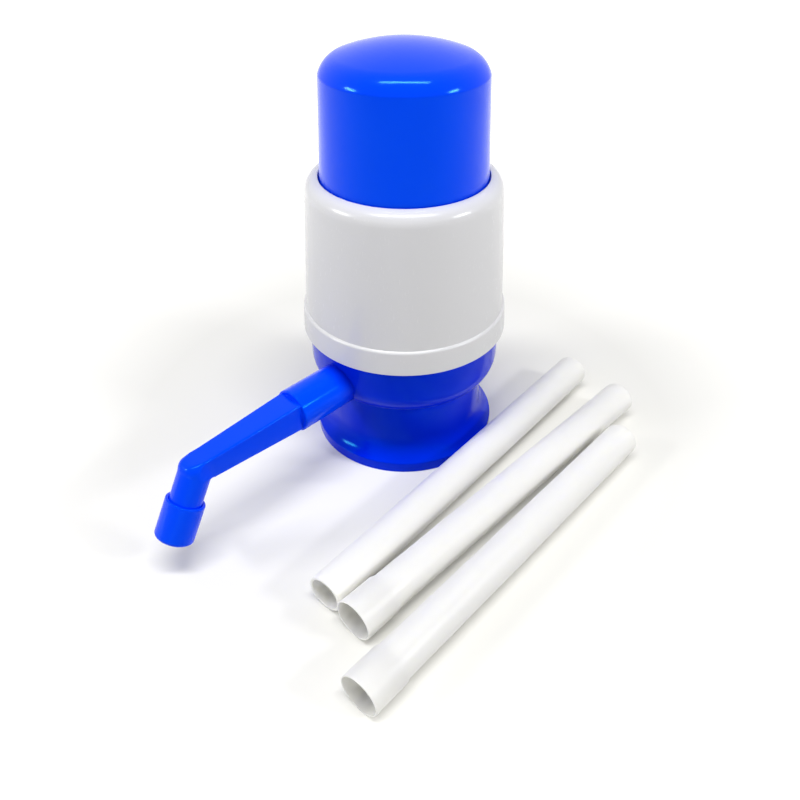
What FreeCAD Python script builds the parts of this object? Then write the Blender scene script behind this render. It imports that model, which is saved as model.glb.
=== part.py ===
import FreeCAD, Part
import math
import os
import re
import Sketcher

os.makedirs("parts", exist_ok=True)

# Water jug hand pump. Millimetres and degrees, +Z up. The origin is on the pump's axis in the plane of
# its foot, and the spout points along -Y.
SIZES = [
    # base moulding
    ("foot_radius", 38.5),
    ("foot_band", 4.6),
    ("foot_band_step", 0.9),
    ("foot_band_slope", 0.6),
    ("flare_radius", 11.1),
    ("flare_rise", 8.8),
    ("skirt_radius", 33.0),
    ("waist_radius", 32.1),
    ("waist_height", 29.0),
    ("bulge_radius", 38.8),
    ("bulge_height", 38.75),
    ("bulge_corner", 10.5),
    ("base_height", 60.0),
    ("base_wall", 2.2),
    ("neck_radius", 28.2),
    ("neck_grip", 14.0),
    ("neck_relief", 0.5),
    ("neck_depth", 25.7),
    ("gasket_pocket", 0.5),
    ("sleeve_wall", 1.7),
    ("sleeve_gap_depth", 15.0),
    ("skirt_rib", 1.2),
    ("skirt_rib_lift", 2.0),
    ("deck_thickness", 2.5),
    ("deck_inset", 0.35),
    ("post_circle", 25.0),
    ("post_radius", 3.2),
    ("post_top", 47.0),
    # housing
    ("band_bottom", 51.9),
    ("band_radius", 41.2),
    ("band_top_radius", 40.6),
    ("band_height", 8.7),
    ("band_round", 1.1),
    ("housing_foot_radius", 39.6),
    ("housing_top_radius", 36.75),
    ("shoulder_drop", 5.4),
    ("shoulder_round", 5.4),
    ("shoulder_inset", 4.85),
    ("housing_height", 113.4),
    ("housing_wall", 1.9),
    ("lip_flat", 0.4),
    ("lip_thickness", 2.4),
    # push cap
    ("cap_stroke", 34.0),
    ("cap_height", 158.0),
    ("cap_draft", 1.83),
    ("cap_edge_fall", 10.2),
    ("cap_edge_round", 9.8),
    ("cap_crown_step", 5.87),
    ("cap_crown_fall", 4.05),
    ("cap_wall", 1.8),
    ("cap_rim_thickness", 3.3),
    ("cap_boss_radius", 8.0),
    ("cap_boss_drop", 3.15),
    ("cap_crown_inset", 0.8),
    ("cap_crown_lift", 0.2),
    ("cap_edge_drop", 0.2),
    # plunger
    ("stem_radius", 5.0),
    ("stem_flange_radius", 13.5),
    ("stem_flange", 2.0),
    ("stem_spigot", 5.0),
    ("stem_tail_radius", 3.5),
    ("piston_radius", 16.4),
    ("piston_thickness", 3.0),
    ("cup_base", 4.0),
    ("cup_lip_drop", 1.1),
    ("cup_lip_wall", 1.35),
    ("cup_lip_taper", 0.4),
    ("cup_web", 2.2),
    ("cup_hub_radius", 9.0),
    ("screw_head_radius", 6.5),
    ("screw_head", 2.5),
    ("screw_shank_radius", 1.4),
    ("piston_screw_length", 10.0),
    # cylinder
    ("bore_radius", 17.0),
    ("cylinder_wall", 1.7),
    ("cylinder_length", 48.5),
    ("cylinder_flange_radius", 28.5),
    ("cylinder_flange", 2.6),
    ("lid_thickness", 3.0),
    ("lid_skirt", 7.5),
    ("lid_skirt_wall", 1.65),
    ("guide_radius", 8.0),
    ("guide_height", 5.0),
    ("vent_radius", 1.2),
    ("vent_circle", 14.0),
    ("flange_screw_head_radius", 2.8),
    ("flange_screw_head", 1.8),
    ("flange_screw_length", 8.0),
    # return spring
    ("wire_radius", 0.8),
    ("spring_radius", 10.5),
    ("spring_turns", 7.0),
    ("spring_close_gap", 0.6),
    # valve block
    ("nipple_radius", 7.0),
    ("nipple_length", 13.5),
    ("nipple_chamfer", 0.7),
    ("nipple_chamfer_length", 1.05),
    ("collar_radius", 8.2),
    ("collar_drop", 1.0),
    ("riser_radius", 4.5),
    ("block_radius", 16.0),
    ("block_flange_radius", 20.0),
    ("block_flange", 2.5),
    ("chamber_floor", 50.0),
    ("inlet_seat_drop", 5.0),
    ("inlet_pocket_radius", 7.0),
    ("inlet_flap_radius", 6.5),
    ("inlet_flap_thickness", 1.4),
    ("flap_lift", 1.8),
    ("retainer_ledge", 0.5),
    ("retainer_thickness", 1.8),
    ("retainer_rim", 1.6),
    ("spoke_width", 1.6),
    ("port_radius", 2.6),
    ("port_offset", 11.5),
    ("gallery_start", 8.0),
    ("cylinder_gasket_thickness", 1.2),
    ("deck_gasket_thickness", 1.5),
    ("deck_gasket_radius", 13.0),
    ("neck_gasket_inner_radius", 21.5),
    ("neck_gasket_thickness", 3.0),
    # outlet and spout
    ("spout_height", 38.4),
    ("socket_radius", 8.5),
    ("socket_start", 29.0),
    ("socket_step", 34.0),
    ("socket_end", 62.0),
    ("socket_bore", 6.7),
    ("outlet_tube_radius", 4.4),
    ("outlet_tube_bore", 3.2),
    ("outlet_tube_start", 13.0),
    ("outlet_washer_thickness", 1.0),
    ("outlet_flange", 2.0),
    ("outlet_flap_radius", 4.9),
    ("outlet_flap_thickness", 1.2),
    ("spout_bore", 4.5),
    ("spout_bend_bore", 3.8),
    ("spout_root_half", 6.36),
    ("spout_root_corner", 2.75),
    ("spout_bend_half", 4.85),
    ("spout_bend_corner", 2.4),
    ("spout_bend_distance", 105.0),
    ("spout_bend_angle", 59.2),
    ("spout_leg", 26.0),
    ("spout_tip_radius", 5.85),
    ("spout_tip_flat", 0.1),
    ("oring_radius", 0.52),
    ("oring_distance", 47.0),
    ("dust_cap_radius", 7.1),
    ("dust_cap_depth", 13.6),
    ("dust_cap_end", 1.7),
    ("dust_cap_round", 1.5),
    # dip tubes
    ("tube_radius", 7.0),
    ("tube_wall", 1.1),
    ("bell_wall", 0.5),
    ("bell_depth", 14.0),
    ("bell_cone", 2.0),
    ("tube_1_length", 168.0),
    ("tube_2_length", 165.0),
    ("tube_3_length", 158.0),
    ("tube_1_distance", 46.3),
    ("tube_2_distance", 68.2),
    ("tube_3_distance", 85.4),
    ("tube_1_heading", 93.6),
    ("tube_2_heading", 89.5),
    ("tube_3_heading", 91.2),
    ("tube_1_start", 98.6),
    ("tube_2_start", 95.9),
    ("tube_3_start", 115.5),
    # clearances
    ("running_gap", 0.07),
    ("slide_gap", 0.05),
    ("fit_gap", 0.1),
    ("seat_gap", 0.1),
    ("piston_gap", 1.0),
    ("hole_gap", 0.2),
    ("collar_gap", 0.4),
    ("housing_gap", 0.2),
    ("lip_gap", 0.4),
    ("cap_rim_gap", 1.95),
    ("flap_gap", 0.4),
    # how deep a form is sunk into the one that carries it, and how far a cut runs past its wall
    ("join_depth", 0.5),
    ("spoke_sink", 0.2),
    ("cut_overrun", 1.0),
]

doc = FreeCAD.newDocument("water_jug_hand_pump")
sheet = doc.addObject("Spreadsheet::Sheet", "sizes")
NAMES = set()


def add_size(name, content):
    """One more row of the sheet: a plain number, or a formula of the names above it."""
    row = len(NAMES) + 1
    sheet.set("A%d" % row, name)
    sheet.set("B%d" % row, str(content))
    sheet.setAlias("B%d" % row, name)
    NAMES.add(name)


for size_name, size_value in SIZES:
    add_size(size_name, size_value)

# Levels and radii that follow from the sizes above.
add_size("deck_bottom", "=neck_depth + neck_gasket_thickness")
add_size("deck_top", "=deck_bottom + deck_thickness")
add_size("relief_radius", "=neck_radius + neck_relief")
add_size("gasket_radius", "=relief_radius + gasket_pocket")
add_size("collar_bottom", "=deck_bottom - collar_drop")
add_size("nipple_bottom", "=collar_bottom - nipple_length")
add_size("block_bottom", "=deck_top + deck_gasket_thickness")
add_size("block_shoulder", "=post_top - cylinder_gasket_thickness")
add_size("inlet_seat", "=chamber_floor - inlet_seat_drop")
add_size("retainer_bottom", "=inlet_seat + inlet_flap_thickness + flap_lift")
add_size("cylinder_top", "=post_top + cylinder_length")
add_size("lid_top", "=cylinder_top + lid_thickness")
add_size("band_top", "=band_bottom + band_height")
add_size("shoulder_height", "=housing_height - shoulder_drop")
add_size("lip_bottom", "=housing_height - lip_thickness")
add_size("lip_radius", "=housing_top_radius - shoulder_inset - lip_flat")
add_size("cap_foot_radius", "=lip_radius - lip_gap")
add_size("cap_top_radius", "=cap_foot_radius - cap_draft")
add_size("cap_crown_radius", "=cap_top_radius - cap_crown_step")
add_size("cap_rim_radius", "=housing_top_radius - housing_wall - cap_rim_gap")
add_size("cap_rim_top", "=lip_bottom - seat_gap")
add_size("cap_bottom", "=cap_rim_top - cap_rim_thickness")
add_size("cap_edge_height", "=cap_height - cap_edge_fall")
add_size("cap_crown_height", "=cap_height - cap_crown_fall")
add_size("screw_bottom", "=chamber_floor + piston_gap + cap_stroke")
add_size("cup_bottom", "=screw_bottom + screw_head")
add_size("cup_top", "=cup_bottom + cup_base")
add_size("piston_top", "=cup_top + piston_thickness")
add_size("stem_shoulder", "=cap_crown_height - cap_wall - cap_boss_drop")
add_size("spring_top", "=stem_shoulder - stem_flange")
add_size("outlet_seat", "=socket_step + outlet_washer_thickness + outlet_flange")
add_size("outlet_stop", "=outlet_seat + outlet_flap_thickness + flap_lift")
add_size("spigot_end", "=outlet_stop + retainer_thickness + seat_gap")
add_size("bell_radius", "=tube_radius + fit_gap + bell_wall")
doc.recompute()

WORD = re.compile(r"[a-z][a-z0-9_]*")


def bound(text):
    """An expression on the sheet's names, as the document reads it."""
    return WORD.sub(lambda m: "sizes." + m.group() if m.group() in NAMES else m.group(), str(text))


def value(text):
    """The number that such an expression has now."""
    return float(sheet.evalExpression(bound(text)))


def new_body(label):
    body = doc.addObject("PartDesign::Body", label)
    body.Label = label
    return body


def new_sketch(body, name, plane="XZ_Plane", lift="0", tilt="0", shift="0"):
    """A sketch on one of the body's own planes, lifted off it, and tilted about its X direction."""
    sketch = body.newObject("Sketcher::SketchObject", body.Label + "_" + name)
    support = [f for f in body.Origin.OriginFeatures if f.Role == plane][0]
    sketch.AttachmentSupport = (support, [""])
    sketch.MapMode = "FlatFace"
    turn = FreeCAD.Rotation(FreeCAD.Vector(1, 0, 0), value(tilt))
    sketch.AttachmentOffset = FreeCAD.Placement(FreeCAD.Vector(0, value(shift), value(lift)), turn)
    if tilt != "0":
        sketch.setExpression("AttachmentOffset.Rotation.Angle", bound(tilt))
    if shift != "0":
        sketch.setExpression("AttachmentOffset.Base.y", bound(shift))
    if lift != "0":
        sketch.setExpression("AttachmentOffset.Base.z", bound(lift))
    return sketch


def constrain(sketch, kind, where, text):
    """A sized constraint that follows an expression of the sheet."""
    number = sketch.addConstraint(Sketcher.Constraint(kind, *where, value(text)))
    sketch.setExpression("Constraints[%d]" % number, bound(text))


def pin_point(sketch, edge, end, across, up):
    """Ties one end of an edge to its two coordinates."""
    for kind, axis, text in (("DistanceX", -2, across), ("DistanceY", -1, up)):
        if abs(value(text)) < 1e-9:
            sketch.addConstraint(Sketcher.Constraint("PointOnObject", edge, end, axis))
        else:
            constrain(sketch, kind, (-1, 1, edge, end), text)


def outline(sketch, corners):
    """A closed outline. A corner is (across, up) where a straight edge leaves it, and
    (across, up, radius, side) where an arc does, with its centre to the left (1) or right (-1)."""
    points = [FreeCAD.Vector(value(c[0]), value(c[1]), 0) for c in corners]
    ends = []
    for i, corner in enumerate(corners):
        a, b = points[i], points[(i + 1) % len(points)]
        if len(corner) == 2:
            edge = sketch.addGeometry(Part.LineSegment(a, b))
            ends.append((edge, 1, 2))
            continue
        radius, side = value(corner[2]), corner[3]
        chord = b - a
        rise = math.sqrt(radius ** 2 - (chord.Length / 2) ** 2)
        left = FreeCAD.Vector(-chord.y, chord.x, 0).normalize()
        centre = (a + b) / 2 + left * (rise * side)
        start, stop = (a, b) if side > 0 else (b, a)
        angles = [math.atan2(p.y - centre.y, p.x - centre.x) for p in (start, stop)]
        circle = Part.Circle(centre, FreeCAD.Vector(0, 0, 1), radius)
        edge = sketch.addGeometry(Part.ArcOfCircle(circle, angles[0], angles[1]))
        ends.append((edge, 1, 2) if side > 0 else (edge, 2, 1))
    for i, (edge, first, last) in enumerate(ends):
        following = ends[(i + 1) % len(ends)]
        sketch.addConstraint(Sketcher.Constraint("Coincident", edge, last, following[0], following[1]))
    for (edge, first, last), corner in zip(ends, corners):
        pin_point(sketch, edge, first, corner[0], corner[1])
        if len(corner) == 4:
            constrain(sketch, "Radius", (edge,), corner[2])


def ring_edges(sketch, radius, across="0", up="0"):
    """One circle, tied to its centre and radius."""
    centre = FreeCAD.Vector(value(across), value(up), 0)
    edge = sketch.addGeometry(Part.Circle(centre, FreeCAD.Vector(0, 0, 1), value(radius)))
    pin_point(sketch, edge, 3, across, up)
    constrain(sketch, "Radius", (edge,), radius)


def turned(label, corners):
    """A body turned about its own Z axis from an outline of (radius, height) corners."""
    body = new_body(label)
    add_turn(body, "profile", corners)
    return body


def add_turn(body, name, corners, kind="PartDesign::Revolution"):
    sketch = new_sketch(body, name)
    outline(sketch, corners)
    turn = body.newObject(kind, body.Label + "_" + name + "_turn")
    turn.Profile = sketch
    turn.ReferenceAxis = (sketch, ["V_Axis"])
    turn.Angle = 360
    body.Tip = turn
    return turn


def tube_corners(inner, outer, bottom, top):
    return [(inner, bottom), (outer, bottom), (outer, top), (inner, top)]


def extruded(body, sketch, length, kind="PartDesign::Pad"):
    feature = body.newObject(kind, sketch.Name + "_run")
    feature.Profile = sketch
    feature.Length = value(length)
    feature.setExpression("Length", bound(length))
    body.Tip = feature
    return feature


def around(body, feature, count):
    """Repeats a feature round the body's Z axis."""
    pattern = body.newObject("PartDesign::PolarPattern", feature.Name + "_around")
    pattern.Originals = [feature]
    z_axis = [f for f in body.Origin.OriginFeatures if f.Role == "Z_Axis"][0]
    pattern.Axis = (z_axis, [""])
    pattern.Angle = 360
    pattern.Occurrences = count
    body.Tip = pattern
    return pattern


def place(body, base, tilt=0.0, heading=0.0):
    """Puts a body at a point, tilted about X and then turned about Z."""
    turn = FreeCAD.Rotation(FreeCAD.Vector(0, 0, 1), heading)
    turn = turn.multiply(FreeCAD.Rotation(FreeCAD.Vector(1, 0, 0), tilt))
    body.Placement = FreeCAD.Placement(FreeCAD.Vector(*base), turn)


SCREW_COUNT = 4
VENT_COUNT = 4
RIB_COUNT = 8
POST_REACH = "post_circle * cos(45)"
POCKET = "PartDesign::Pocket"

# Base moulding: flared skirt ribbed to a sleeve for the bottle's neck, waist, bulge, deck and socket.
# The sleeve grips the neck below and is relieved above, where the bead of the bottle's mouth sits.
base = turned("base_body", [
    ("foot_radius", "0"),
    ("foot_radius", "foot_band"),
    ("foot_radius - foot_band_step", "foot_band + foot_band_slope", "flare_radius", -1),
    ("skirt_radius", "foot_band + foot_band_slope + flare_rise"),
    ("waist_radius", "waist_height", "bulge_corner", 1),
    ("bulge_radius", "bulge_height"),
    ("bulge_radius", "base_height"),
    ("bulge_radius - base_wall", "base_height"),
    ("bulge_radius - base_wall", "bulge_height", "bulge_corner - base_wall", -1),
    ("waist_radius - deck_inset", "deck_top"),
    ("collar_radius + collar_gap", "deck_top"),
    ("collar_radius + collar_gap", "deck_bottom"),
    ("gasket_radius", "deck_bottom"),
    ("gasket_radius", "neck_depth"),
    ("relief_radius", "neck_depth"),
    ("relief_radius", "neck_grip + neck_relief"),
    ("neck_radius", "neck_grip"),
    ("neck_radius", "0"),
    ("neck_radius + sleeve_wall", "0"),
    ("neck_radius + sleeve_wall", "sleeve_gap_depth"),
    ("skirt_radius - base_wall", "sleeve_gap_depth", "flare_radius + base_wall", 1),
    ("foot_radius - foot_band_step - base_wall", "foot_band + foot_band_slope"),
    ("foot_radius - base_wall", "0"),
])
SLEEVE_SIDE = "neck_radius + sleeve_wall - join_depth"
HALF_WALL = "base_wall / 2"
rib = new_sketch(base, "rib", lift="0 - skirt_rib / 2")
outline(rib, [
    (SLEEVE_SIDE, "skirt_rib_lift"),
    ("foot_radius - " + HALF_WALL, "skirt_rib_lift"),
    ("foot_radius - foot_band_step - " + HALF_WALL, "foot_band + foot_band_slope",
     "flare_radius + " + HALF_WALL, -1),
    ("skirt_radius - " + HALF_WALL, "sleeve_gap_depth"),
    ("skirt_radius - " + HALF_WALL, "sleeve_gap_depth + join_depth"),
    (SLEEVE_SIDE, "sleeve_gap_depth + join_depth"),
])
around(base, extruded(base, rib, "skirt_rib"), RIB_COUNT)
post = new_sketch(base, "post", "XY_Plane", "deck_top - join_depth")
ring_edges(post, "post_radius", POST_REACH, POST_REACH)
around(base, extruded(base, post, "post_top - deck_top + join_depth"), SCREW_COUNT)
pilot = new_sketch(base, "pilot", "XY_Plane", "post_top")
ring_edges(pilot, "screw_shank_radius", POST_REACH, POST_REACH)
pilot_cut = extruded(base, pilot, "flange_screw_length - cylinder_flange + cut_overrun", POCKET)
around(base, pilot_cut, SCREW_COUNT)
socket = new_sketch(base, "socket", lift="socket_start")
ring_edges(socket, "socket_radius", up="spout_height")
extruded(base, socket, "socket_end - socket_start")
socket_bore = new_sketch(base, "socket_bore", lift="socket_end")
ring_edges(socket_bore, "socket_bore", up="spout_height")
extruded(base, socket_bore, "socket_end - socket_step", POCKET)
tube_hole = new_sketch(base, "tube_hole", lift="socket_end")
ring_edges(tube_hole, "outlet_tube_radius + fit_gap", up="spout_height")
extruded(base, tube_hole, "socket_end - socket_start + cut_overrun", POCKET)

# Housing: tapered sleeve with a thicker band over the base's rim, a round shoulder and an inward lip.
turned("housing", [
    ("bulge_radius + housing_gap", "band_bottom"),
    ("band_radius", "band_bottom"),
    ("band_top_radius", "band_top", "band_round", 1),
    ("housing_foot_radius", "band_top + band_round"),
    ("housing_top_radius", "shoulder_height", "shoulder_round", 1),
    ("housing_top_radius - shoulder_inset", "housing_height"),
    ("lip_radius", "housing_height"),
    ("lip_radius", "lip_bottom"),
    ("housing_top_radius - housing_wall", "lip_bottom"),
    ("housing_top_radius - housing_wall", "shoulder_height"),
    ("housing_foot_radius - housing_wall", "base_height + seat_gap"),
    ("bulge_radius + housing_gap", "base_height + seat_gap"),
])

# Push cap: thin shell with a domed top, a rim that stops under the lip, and a boss for the stem.
DOME_RISE = "(cap_height - cap_crown_height)"
DOME_RADIUS = "((cap_crown_radius ^ 2 + %s ^ 2) / (2 * %s))" % (DOME_RISE, DOME_RISE)
push_cap = turned("push_cap", [
    ("cap_rim_radius", "cap_bottom"),
    ("cap_rim_radius", "cap_rim_top"),
    ("cap_foot_radius", "cap_rim_top"),
    ("cap_top_radius", "cap_edge_height", "cap_edge_round", 1),
    ("cap_crown_radius", "cap_crown_height", DOME_RADIUS, 1),
    ("0", "cap_height"),
    ("0", "cap_height - cap_wall"),
    ("stem_radius", "cap_height - cap_wall", DOME_RADIUS + " - cap_wall", -1),
    ("cap_crown_radius - cap_crown_inset", "cap_crown_height - cap_wall + cap_crown_lift",
     "cap_edge_round - cap_wall", -1),
    ("cap_top_radius - cap_wall", "cap_edge_height - cap_edge_drop"),
    ("cap_foot_radius - cap_wall", "cap_bottom"),
])
add_turn(push_cap, "boss", tube_corners(
    "stem_radius", "cap_boss_radius", "stem_shoulder", "cap_height - cap_wall + join_depth"))

# Plunger: stem from the cap's boss down through the lid, with the piston, its rubber cup and one screw.
SCREW_TOP = "screw_bottom + screw_head + piston_screw_length"
turned("plunger_stem", [
    ("0", SCREW_TOP),
    ("screw_shank_radius", SCREW_TOP),
    ("screw_shank_radius", "cup_bottom + seat_gap"),
    ("stem_tail_radius", "cup_bottom + seat_gap"),
    ("stem_tail_radius", "piston_top"),
    ("stem_radius", "piston_top"),
    ("stem_radius", "spring_top"),
    ("stem_flange_radius", "spring_top"),
    ("stem_flange_radius", "stem_shoulder"),
    ("stem_radius", "stem_shoulder"),
    ("stem_radius", "stem_shoulder + stem_spigot"),
    ("0", "stem_shoulder + stem_spigot"),
])
turned("piston", tube_corners("stem_tail_radius", "piston_radius", "cup_top", "piston_top"))
CUP_OUTSIDE = "bore_radius - slide_gap"
turned("piston_cup", [
    ("stem_tail_radius", "cup_bottom"),
    ("cup_hub_radius", "cup_bottom"),
    ("cup_hub_radius", "cup_top - cup_web"),
    (CUP_OUTSIDE + " - cup_lip_wall - cup_lip_taper", "cup_top - cup_web"),
    (CUP_OUTSIDE + " - cup_lip_wall", "cup_bottom - cup_lip_drop"),
    (CUP_OUTSIDE, "cup_bottom - cup_lip_drop"),
    (CUP_OUTSIDE, "cup_top"),
    ("stem_tail_radius", "cup_top"),
])
turned("piston_screw", [
    ("0", "screw_bottom"),
    ("screw_head_radius", "screw_bottom"),
    ("screw_head_radius", "cup_bottom"),
    ("screw_shank_radius", "cup_bottom"),
    ("screw_shank_radius", SCREW_TOP),
    ("0", SCREW_TOP),
])

# Cylinder with its flange on the base's posts, and the lid that guides the stem.
cylinder = turned("cylinder", [
    ("bore_radius", "post_top"),
    ("cylinder_flange_radius", "post_top"),
    ("cylinder_flange_radius", "post_top + cylinder_flange"),
    ("bore_radius + cylinder_wall", "post_top + cylinder_flange"),
    ("bore_radius + cylinder_wall", "cylinder_top"),
    ("bore_radius", "cylinder_top"),
])
flange_hole = new_sketch(cylinder, "flange_hole", "XY_Plane", "post_top + cylinder_flange")
ring_edges(flange_hole, "screw_shank_radius + hole_gap", POST_REACH, POST_REACH)
around(cylinder, extruded(cylinder, flange_hole, "cylinder_flange", POCKET), SCREW_COUNT)

LID_SKIRT_BORE = "bore_radius + cylinder_wall + slide_gap"
lid = turned("cylinder_lid", [
    ("stem_radius + slide_gap", "cylinder_top"),
    (LID_SKIRT_BORE, "cylinder_top"),
    (LID_SKIRT_BORE, "cylinder_top - lid_skirt"),
    (LID_SKIRT_BORE + " + lid_skirt_wall", "cylinder_top - lid_skirt"),
    (LID_SKIRT_BORE + " + lid_skirt_wall", "lid_top"),
    ("guide_radius", "lid_top"),
    ("guide_radius", "lid_top + guide_height"),
    ("stem_radius + slide_gap", "lid_top + guide_height"),
])
vent = new_sketch(lid, "vent", "XY_Plane", "lid_top")
ring_edges(vent, "vent_radius", "vent_circle")
around(lid, extruded(lid, vent, "lid_thickness", POCKET), VENT_COUNT)

# Four screws through the cylinder's flange, one node of separate solids.
FLANGE_TOP = "post_top + cylinder_flange"
screws = []
for number in range(SCREW_COUNT):
    head = doc.addObject("Part::Cylinder", "flange_screw_head_%d" % number)
    shank = doc.addObject("Part::Cylinder", "flange_screw_shank_%d" % number)
    for piece, radius, height, level in (
            (head, "flange_screw_head_radius", "flange_screw_head", FLANGE_TOP),
            (shank, "screw_shank_radius", "flange_screw_length", FLANGE_TOP + " - flange_screw_length")):
        piece.setExpression("Radius", bound(radius))
        piece.setExpression("Height", bound(height))
        for axis, turn in (("x", 45 + 90 * number), ("y", 90 * number - 45)):
            piece.setExpression("Placement.Base." + axis, bound("post_circle * cos(%d)" % turn))
        piece.setExpression("Placement.Base.z", bound(level))
    screw = doc.addObject("Part::Fuse", "flange_screw_%d" % number)
    screw.Base = head
    screw.Tool = shank
    screws.append(screw)
screw_group = doc.addObject("Part::Compound", "cylinder_screws")
screw_group.Links = screws
screw_group.Label = "cylinder_screws"


def spring_path():
    """Straight ends of one wire's width, joined by biarcs of a quarter turn each."""
    turns = value("spring_turns")
    radius = value("spring_radius")
    wire = value("wire_radius")
    bottom = value("lid_top") + wire
    top = value("spring_top") - wire
    steps = int(round(4 * turns))
    close = 2 * wire + value("spring_close_gap")
    # the first and last turn lie close, and the quarter turns between them share the rest
    rises = [close / 4 if i < 4 or i >= steps - 4 else None for i in range(steps)]
    open_rise = (top - bottom - sum(r for r in rises if r)) / rises.count(None)
    rises = [open_rise if r is None else r for r in rises]
    levels = [bottom]
    for rise in rises:
        levels.append(levels[-1] + rise)
    points, tangents = [], []
    for i, level in enumerate(levels):
        angle = math.pi / 2 * i
        points.append(FreeCAD.Vector(radius * math.cos(angle), radius * math.sin(angle), level))
        before = rises[i - 1] if i else 0.0
        after = rises[i] if i < steps else 0.0
        climb = (before + after) / 2 / (math.pi / 2)
        tangent = FreeCAD.Vector(-radius * math.sin(angle), radius * math.cos(angle), climb)
        tangents.append(tangent.normalize())
    tangents[0].z = tangents[-1].z = 0.0
    tangents[0].normalize()
    tangents[-1].normalize()
    edges = [Part.LineSegment(points[0] - tangents[0] * 2 * wire, points[0]).toShape()]
    for i in range(steps):
        edges += biarc(points[i], tangents[i], points[i + 1], tangents[i + 1])
    edges.append(Part.LineSegment(points[-1], points[-1] + tangents[-1] * 2 * wire).toShape())
    return Part.Wire(edges), tangents[0]


def arc_from(start, tangent, stop, reach):
    """The arc from start, along tangent, to stop, whose end tangents meet at reach from each end."""
    corner = start + tangent * reach
    middle = (start + stop) / 2
    half = (stop - start).Length / 2
    bend = math.acos(max(-1.0, min(1.0, half / reach)))
    if bend < 1e-6:
        return Part.LineSegment(start, stop).toShape()
    sagitta = half * math.tan(bend / 2)
    toward = (corner - middle).normalize()
    return Part.Arc(start, middle + toward * sagitta, stop).toShape()


def biarc(start, leaving, stop, arriving):
    """Two arcs that join with one tangent."""
    chord = stop - start
    both = leaving + arriving
    a = 2 * (leaving.dot(arriving) - 1)
    b = -2 * chord.dot(both)
    c = chord.dot(chord)
    if abs(a) < 1e-9:
        reach = -c / b
    else:
        reach = (-b - math.sqrt(b * b - 4 * a * c)) / (2 * a)
    meet = (start + leaving * reach + stop - arriving * reach) / 2
    first = arc_from(start, leaving, meet, reach)
    middle_tangent = (stop - arriving * reach - (start + leaving * reach)).normalize()
    second = arc_from(meet, middle_tangent, stop, reach)
    return [first, second]


def least_self_gap(route, wire):
    """The least gap between two turns, on points half a wire's radius apart and half a turn on."""
    step = wire / 2
    points = [(p.x, p.y, p.z) for p in route.discretize(Distance=step)]
    half_turn = int(math.pi * value("spring_radius") / step)
    nearest = min(math.dist(a, b) for i, a in enumerate(points) for b in points[i + half_turn:])
    return nearest - 2 * wire


path, first_tangent = spring_path()
print("return_spring's least gap to itself: %.2f mm" % least_self_gap(path, value("wire_radius")))
wire_centre = path.Vertexes[0].Point
section = Part.Wire([Part.Circle(wire_centre, first_tangent, value("wire_radius")).toShape()])
coil = path.makePipeShell([section], True, False)
spring = doc.addObject("Part::Feature", "return_spring")
spring.Shape = coil
spring.Label = "return_spring"

# Valve block: suction nipple with a collar that stops the dip tube and passes through the deck, inlet
# seat, and the gallery towards the spout.
block = turned("valve_body", [
    ("riser_radius", "nipple_bottom"),
    ("nipple_radius - nipple_chamfer", "nipple_bottom"),
    ("nipple_radius", "nipple_bottom + nipple_chamfer_length"),
    ("nipple_radius", "collar_bottom"),
    ("collar_radius", "collar_bottom"),
    ("collar_radius", "block_bottom"),
    ("block_radius", "block_bottom"),
    ("block_radius", "block_shoulder - block_flange"),
    ("block_flange_radius", "block_shoulder - block_flange"),
    ("block_flange_radius", "block_shoulder"),
    ("bore_radius - fit_gap", "block_shoulder"),
    ("bore_radius - fit_gap", "chamber_floor"),
    ("inlet_pocket_radius + retainer_ledge", "chamber_floor"),
    ("inlet_pocket_radius + retainer_ledge", "retainer_bottom"),
    ("inlet_pocket_radius", "retainer_bottom"),
    ("inlet_pocket_radius", "inlet_seat"),
    ("riser_radius", "inlet_seat"),
])
port = new_sketch(block, "port", "XY_Plane", "chamber_floor")
ring_edges(port, "port_radius", up="0 - port_offset")
extruded(block, port, "chamber_floor - spout_height", POCKET)
gallery = new_sketch(block, "gallery", lift="block_radius + cut_overrun")
ring_edges(gallery, "outlet_tube_bore", up="spout_height")
extruded(block, gallery, "block_radius + cut_overrun - gallery_start", POCKET)
counterbore = new_sketch(block, "counterbore", lift="block_radius + cut_overrun")
ring_edges(counterbore, "outlet_tube_radius", up="spout_height")
extruded(block, counterbore, "block_radius + cut_overrun - outlet_tube_start", POCKET)

# Gaskets: under the valve block, over the bottle's neck, and under the cylinder.
turned("deck_gasket", tube_corners("collar_radius", "deck_gasket_radius", "deck_top", "block_bottom"))
turned("neck_gasket", tube_corners(
    "neck_gasket_inner_radius", "gasket_radius", "neck_depth", "deck_bottom"))
turned("cylinder_gasket", tube_corners(
    "bore_radius - fit_gap", "block_flange_radius", "block_shoulder", "post_top"))

# Inlet: a rubber disc that lifts off its seat, under a spoked ring.
turned("inlet_flap", [
    ("0", "inlet_seat"),
    ("inlet_flap_radius", "inlet_seat"),
    ("inlet_flap_radius", "inlet_seat + inlet_flap_thickness"),
    ("0", "inlet_seat + inlet_flap_thickness"),
])


def spokes(body, radius, bottom, thickness):
    """A cross of two bars inside a ring."""
    half_width = "spoke_width / 2"
    for name, half_x, half_y in (("spoke_a", radius, half_width), ("spoke_b", half_width, radius)):
        bars = new_sketch(body, name, "XY_Plane", bottom)
        outline(bars, [
            ("0 - (%s)" % half_x, "0 - (%s)" % half_y),
            (half_x, "0 - (%s)" % half_y),
            (half_x, half_y),
            ("0 - (%s)" % half_x, half_y),
        ])
        extruded(body, bars, thickness)


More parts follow.
